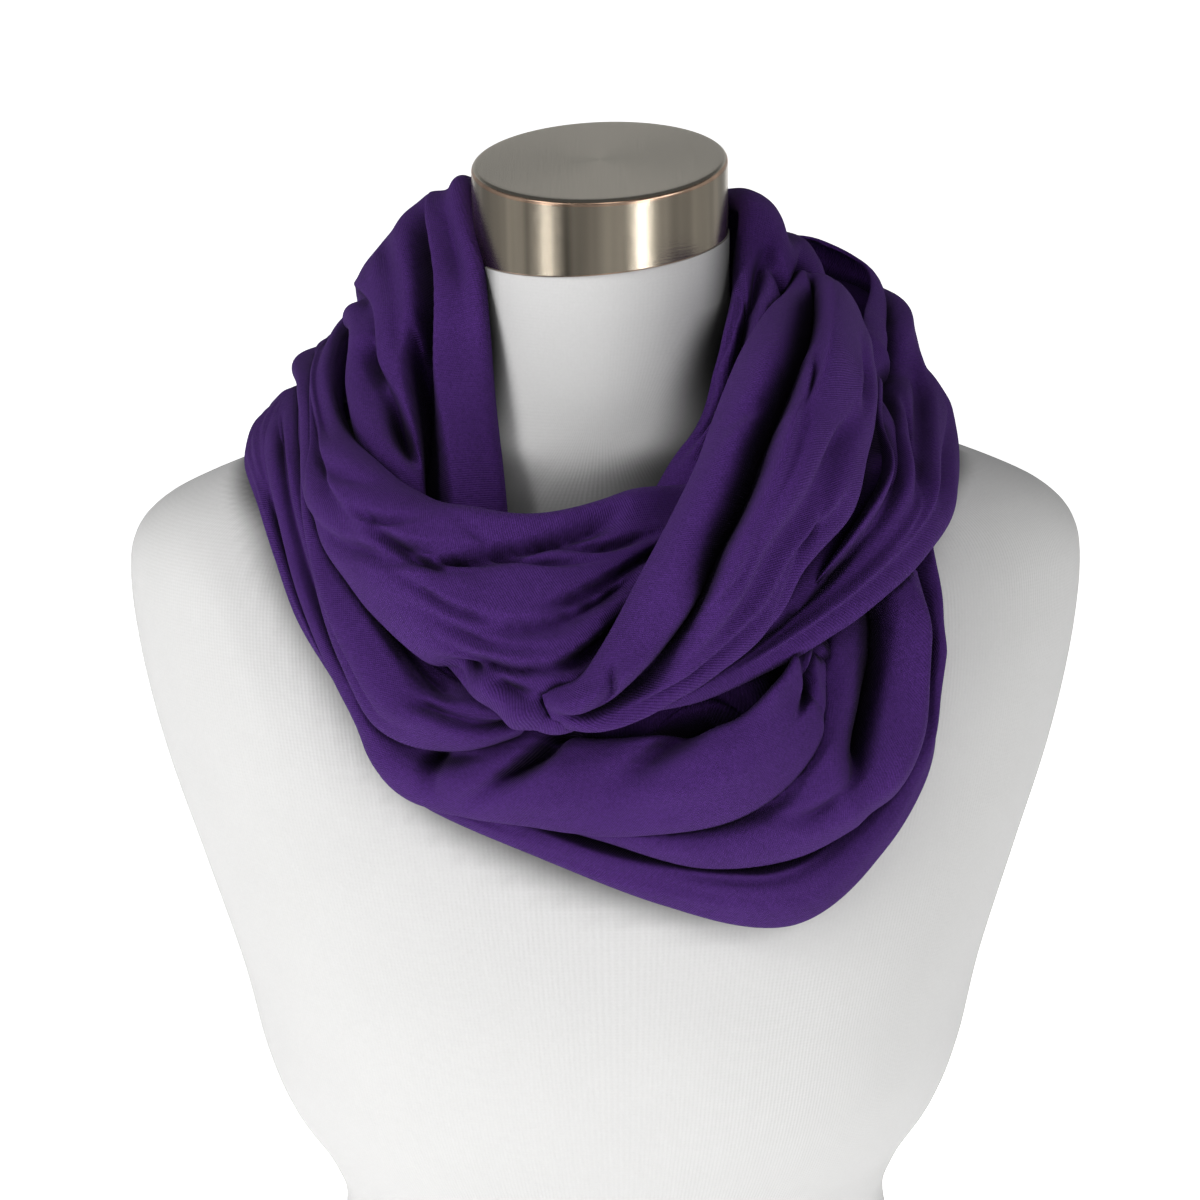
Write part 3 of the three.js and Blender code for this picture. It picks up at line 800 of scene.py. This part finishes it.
LOOP_UPPER_FOLDS = [
    [5.8, 9.7, 0.08, 0.27, 0.10, -36, 17, 4, 0],       # the hollow under the cross band
    [7.8, 10.4, 0.38, 0.36, 0.42, 9, 3, 8, -3],        # rolled rim of the front swag
    [3.8, 5.6, 0.44, 0.50, 0.40, -6, 3, 6, 0],
    [4.6, 9.0, 0.62, 0.66, 0.60, 3, 10, 10, 0],
    [8.6, 10.6, 0.62, 0.66, 0.70, -8, 5, 3, 0],
    [9.0, 11.0, 0.16, 0.14, 0.2, -9, 3, 3, 0],
    [0.4, 4.2, 0.45, 0.5, 0.45, -4, 2, 3, 0],
]
LOOP_MIDDLE_FOLDS = [
    [3.6, 6.8, 0.80, 0.46, 0.34, -30, 14, 11, 0],      # the dark valley on the right
    [2.6, 6.6, 0.10, 0.12, 0.10, 4, 6, 6, 0],
    [3.2, 7.0, 0.92, 0.93, 0.90, 5, 4, 4, 0],
    [0.4, 3.4, 0.55, 0.60, 0.50, -6, 5, 6, 0],
]
NECK_FOLDS = [
    [0.9, 5.5, 0.62, 0.36, 0.20, -18, 1.8, 6, 2],      # deep slit beside the inner pleat
    [0.9, 3.8, 0.68, 0.53, 0.46, -13, 4, 1.8, 0],      # and the one that meets it
    [1.9, 3.8, 0.66, 0.70, 0.82, -8, 2.4, 8, 0],       # V-shaped fold further out
    [2.8, 5.6, 0.72, 0.76, 0.94, -7, 2, 6, 0],
    [2.6, 6.4, 0.10, 0.10, 0.08, -4, 4, 6, 0],
    [3.0, 5.2, 0.52, 0.54, 0.52, -4, 6, 3, 0],
    [5.8, 9.4, 0.62, 0.62, 0.6, -6, 4, 8, 0],
    [6.6, 9.8, 0.34, 0.34, 0.3, -6, 8, 4, 0],
    [8.8, 12.6, 0.42, 0.36, 0.30, -10, 2.4, 6, 0],
    [9.6, 12.6, 0.14, 0.10, 0.10, -9, 3, 3, 0],
    [9.0, 12.0, 0.66, 0.62, 0.60, -7, 2.4, 6, 0],
]
LOOP_OUTER_FOLDS = [
    [4.6, 9.6, 0.22, 0.40, 0.34, -19, 13, 6, 0],        # under the loop above it
    [7.4, 11.6, 0.26, 0.18, 0.26, -17, 8, 7, 0],
    [5.8, 9.2, 0.60, 0.62, 0.62, -2.4, 2, 3, 0],
    [8.2, 12.4, 0.62, 0.56, 0.60, -9, 3, 2.4, 0],       # between its two right ridges
    [8.6, 12.0, 0.82, 0.80, 0.82, 3, 4, 4, 0],
    [0.6, 4.6, 0.60, 0.58, 0.60, -6, 3, 2.4, 0],
    [13.2, 17.4, 0.32, 0.30, 0.35, -8, 4, 8, 0],
    [13.0, 17.8, 0.62, 0.66, 0.6, -7, 4, 7, 0],
]
# short creases: row, across, length and width in mm, rise, and slant in degrees
UPPER_CREASES = [
    [3.7, 0.34, 18, 1.8, -9, 10],        # the dark dash
    [4.3, 0.36, 26, 2.0, -6, 4],
    [4.2, 0.44, 30, 2.0, -4.4, -8],
    [4.6, 0.54, 28, 2.4, -4, 8],
    [4.9, 0.30, 24, 2.0, -5, 14],
    [3.1, 0.72, 40, 2.0, -4, -12],
    [2.6, 0.24, 46, 1.6, -4.4, -14],
    [1.6, 0.20, 40, 2.2, -6.5, -10],
    [3.6, 0.62, 44, 1.8, -4, -14],
    [2.8, 0.80, 36, 1.8, -5, -10],
    [3.5, 0.93, 22, 3.6, -11, 8],        # the dark hole by the left strand
    [2.5, 0.92, 16, 4.0, 5, 30],         # the rolled lobes beyond
    [2.0, 0.90, 14, 2.4, -7, 40],
    [1.4, 0.92, 14, 4.0, 4, 30],
    [6.1, 0.30, 40, 3.5, -4, 12],
    [5.4, 0.70, 44, 3.0, -4, 10],
    [16.5, 0.06, 70, 9.0, -18, 0],       # the hollow beside the cross band
    [16.0, 0.52, 42, 2.0, -4, 4],
    [17.0, 0.70, 38, 2.0, -4, -5],
    [18.2, 0.45, 36, 2.0, -4, -6],
]
CROSS_CREASES = [
    [1.7, 0.40, 30, 2.4, -12, 4],        # the notch between the two lobes
    [3.6, 0.14, 34, 3.0, -4, -12],
    [8.7, 0.35, 20, 2.0, -6, 16],
    [9.3, 0.62, 16, 2.0, -5, -20],
    [6.0, 0.94, 40, 2.0, -3, 6],
    [3.0, 0.82, 26, 3.0, -5, 20],
    [4.6, 0.52, 34, 2.0, -3, 6],
    [6.6, 0.58, 40, 2.0, -3, -5],
]
LOOP_UPPER_CREASES = [
    [7.55, 0.24, 58, 6.0, -17, -42],     # the short dark trough
    [5.95, 0.42, 36, 3.6, -16, -46],     # wedge beside the cross band's foot
    [5.1, 0.52, 24, 3.0, -10, 80],
    [9.05, 0.42, 40, 3.0, -8, 74],
    [9.9, 0.30, 22, 3.0, -10, 10],
    [10.1, 0.70, 24, 3.0, -9, 60],
    [4.7, 0.30, 40, 3.0, -7, 4],
]
NECK_CREASES = [
    [2.35, 0.72, 26, 2.6, -8, 12],
    [4.2, 0.08, 36, 4.0, -3, 3],
    [10.9, 0.04, 26, 2.4, -9, 3],
    [10.3, 0.30, 26, 3.0, -6, 25],
]
LOOP_OUTER_CREASES = [
    [7.2, 0.55, 60, 1.6, -2, 4],
    [7.6, 0.40, 50, 1.6, -2, -5],
    [8.6, 0.35, 40, 3.0, -5, 14],
]
LOOP_MIDDLE_CREASES = [
    [2.2, 0.40, 46, 3.0, -4, -6],
    [3.3, 0.80, 30, 3.0, -5, 18],
]

torso, torso_points, torso_outward = build_torso()
cap = build_cap()
CLOTH = {
    "cross_band": build_stretch("cross_band_cloth", CROSS_BAND, 1, 7, 280, CROSS_FOLDS,
                                CROSS_CREASES, seed=2.3, grain=35),
    "upper_turn": build_stretch("upper_turn_cloth", UPPER_TURN, 1, 8, 400, UPPER_FOLDS,
                                UPPER_CREASES, seed=5.1, grain=30),
    "left_strand": build_stretch("left_strand_cloth", LEFT_STRAND, -1, 6, 150, LEFT_FOLDS,
                                 seed=7.7, grain=30),
    "loop_upper": build_stretch("loop_upper_cloth", LOOP_UPPER, -1, 6, 240, LOOP_UPPER_FOLDS,
                                LOOP_UPPER_CREASES, seed=9.2, grain=40),
    "loop_middle": build_stretch("loop_middle_cloth", LOOP_MIDDLE, -1, 6, 180,
                                 LOOP_MIDDLE_FOLDS, LOOP_MIDDLE_CREASES, seed=11.4, grain=40),
    "neck_turn": build_stretch("neck_turn_cloth", NECK_TURN, 1, 4, 340, NECK_FOLDS,
                               NECK_CREASES, seed=13.6, grain=5),
    "loop_outer": build_stretch("loop_outer_cloth", LOOP_OUTER, -1, 6, 340, LOOP_OUTER_FOLDS,
                                LOOP_OUTER_CREASES, closed=True, seed=15.8, grain=40),
}
surfaces = all_surfaces([piece for piece, _, _ in CLOTH.values()] + [torso])
# painted shade: each stretch of scarf is darkened in its folds and where other cloth covers it
for piece, points, normal in CLOTH.values():
    paint_hollow_shade(piece, points, normal, surfaces)
# painted shadow on the form: darker in the neck's well and under the scarf, over a longer reach
paint_hollow_shade(torso, torso_points, torso_outward, surfaces, reach=110.0, darkest=0.05,
              open_at=0.66, steep=3.1, soften=3)

# ---- what each piece stands for ------------------------------------------------------------
STANDS_FOR = [
    # piece, CAD nodes, flat width and length in metres, what it rests on
    ("cross_band", ["cross_band"], (0.16, 0.24), ["upper_turn_cloth"]),
    ("upper_turn", ["front_drape", "shoulder_band"], (0.135, 0.78), ["neck_turn_cloth"]),
    ("left_strand", ["left_strand"], (0.06, 0.24), ["loop_upper_cloth"]),
    ("loop_upper", ["loop_upper"], (0.11, 0.38), ["loop_outer_cloth"]),
    ("loop_middle", ["loop_middle"], (0.09, 0.25), ["loop_outer_cloth"]),
    ("neck_turn", ["neck_turn"], (0.13, 0.56), ["dress_form"]),
    ("loop_outer", ["loop_outer"], (0.10, 0.86), ["dress_form"]),
]
for name, nodes, flat, under in STANDS_FOR:
    piece = CLOTH[name][0]
    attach(piece, "root")
    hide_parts(*nodes)
for piece, node, slot in ((torso, "form_torso", "form_jersey"), (cap, "form_neck_cap", "neck_cap")):
    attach(piece, "root")
    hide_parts(node)


# ---- floor, light and camera, in metres ----------------------------------------------------
FLOOR_RADIUS = 12.0
FLOOR_AROUND = 96               # points round it
WALL_HEIGHT = 9.0
SWEEP = 2.0                     # the floor curves up into the wall over this radius
GLOW_BEHIND = (-0.2, 0.35)      # the ground turns white over this stretch of y
GLOW_ROUND = (0.7, 2.2)         # and dims over this distance from the base
GLOW_WEDGE = (0.45, 1.0)        # behind, it dims over this distance outside a widening strip
WALL_FADE = 4.0                 # and it fades up the wall
WEDGE_SLOPE = 0.28              # the strip's half width gains this much per unit of y
GLOW_LEAST = 0.16


def make_ground():
    """White floor swept up into a round wall. It glows behind the form and round its base."""
    angle = np.linspace(0, 2 * math.pi, FLOOR_AROUND, endpoint=False)
    profile = [(0.01, 0.0), (3.0, 0.0)]
    profile += [(FLOOR_RADIUS + SWEEP * math.sin(t), SWEEP * (1 - math.cos(t)))
                for t in np.linspace(0, math.pi / 2, 16)]
    profile.append((FLOOR_RADIUS + SWEEP, WALL_HEIGHT))
    points = [(r * math.cos(a), r * math.sin(a), z) for r, z in profile for a in angle]
    faces = grid_faces(len(profile), FLOOR_AROUND, close_cols=True)
    faces.append(list(range(FLOOR_AROUND)))
    mesh = bpy.data.meshes.new("ground")
    mesh.from_pydata(points, [], faces)
    mesh.shade_smooth()
    material, tree, make, shader = new_material("ground_white")
    link = tree.links.new
    calc, remap = calculator(make, link)
    place = make("ShaderNodeTexCoord")
    split = make("ShaderNodeSeparateXYZ")
    link(place.outputs["Object"], split.inputs[0])
    x, y, z = split.outputs
    behind = remap(y, GLOW_BEHIND, (0, 1), smooth=True)
    outside = calc("MULTIPLY_ADD", y, -WEDGE_SLOPE, calc("ABSOLUTE", x))
    outside = calc("MULTIPLY_ADD", z, WALL_FADE, outside)
    wedge = remap(outside, GLOW_WEDGE[::-1], (0, 1), smooth=True)
    distance = make("ShaderNodeVectorMath", operation="LENGTH")
    link(place.outputs["Object"], distance.inputs[0])
    near = remap(distance.outputs["Value"], GLOW_ROUND[::-1], (0, 1), smooth=True)
    glow = calc("MAXIMUM", calc("MAXIMUM", calc("MULTIPLY", behind, wedge), near), GLOW_LEAST)
    link(glow, shader.inputs["Emission Strength"])
    shader.inputs["Emission Color"].default_value = (1, 1, 1, 1)
    shader.inputs["Base Color"].default_value = (0.82, 0.82, 0.82, 1)
    shader.inputs["Roughness"].default_value = 0.9
    mesh.materials.append(material)
    ground = bpy.data.objects.new("ground", mesh)
    bpy.context.scene.collection.objects.link(ground)


def add_light(name, place, aim, size, power):
    data = bpy.data.lights.new(name, "AREA")
    data.shape = "RECTANGLE"
    data.size, data.size_y = size
    data.energy = power
    light = bpy.data.objects.new(name, data)
    light.location = place
    light.rotation_euler = (Vector(place) - Vector(aim)).to_track_quat("Z", "Y").to_euler()
    bpy.context.scene.collection.objects.link(light)


WORLD_STRENGTH = 0.10
LIGHTS = [
    # name, place, width and height, watts
    ("key", (-1.05, -0.85, 1.75), (0.5, 0.5), 8.7),
    ("fill", (1.35, -0.80, 1.45), (0.6, 0.6), 3.2),
    ("front", (0.1, -1.2, 2.0), (0.9, 0.5), 1.9),
]
# upright strips that the cap's side mirrors: degrees round from the front, width, watts
STRIPS = [(-46, 0.07, 9.0), (36, 0.05, 5.0)]
STRIP_DISTANCE, STRIP_CENTRE, STRIP_HEIGHT = 1.2, 0.75, 1.4


def make_light():
    world = bpy.data.worlds.new("world")
    bpy.context.scene.world = world
    world.use_nodes = True
    background = world.node_tree.nodes["Background"]
    background.inputs["Color"].default_value = (0.97, 0.98, 1.0, 1)
    background.inputs["Strength"].default_value = WORLD_STRENGTH
    chest = (0, -0.03, 0.5)
    for name, place, size, power in LIGHTS:
        add_light(name, place, chest, size, power)
    for degrees, width, power in STRIPS:
        turn = math.radians(degrees)
        x, y = STRIP_DISTANCE * math.sin(turn), -STRIP_DISTANCE * math.cos(turn)
        add_light("strip", (x, y, STRIP_CENTRE), (0, 0, STRIP_CENTRE), (width, STRIP_HEIGHT),
                  power)


make_ground()
make_light()
make_camera()
bpy.context.scene.view_settings.view_transform = "Standard"
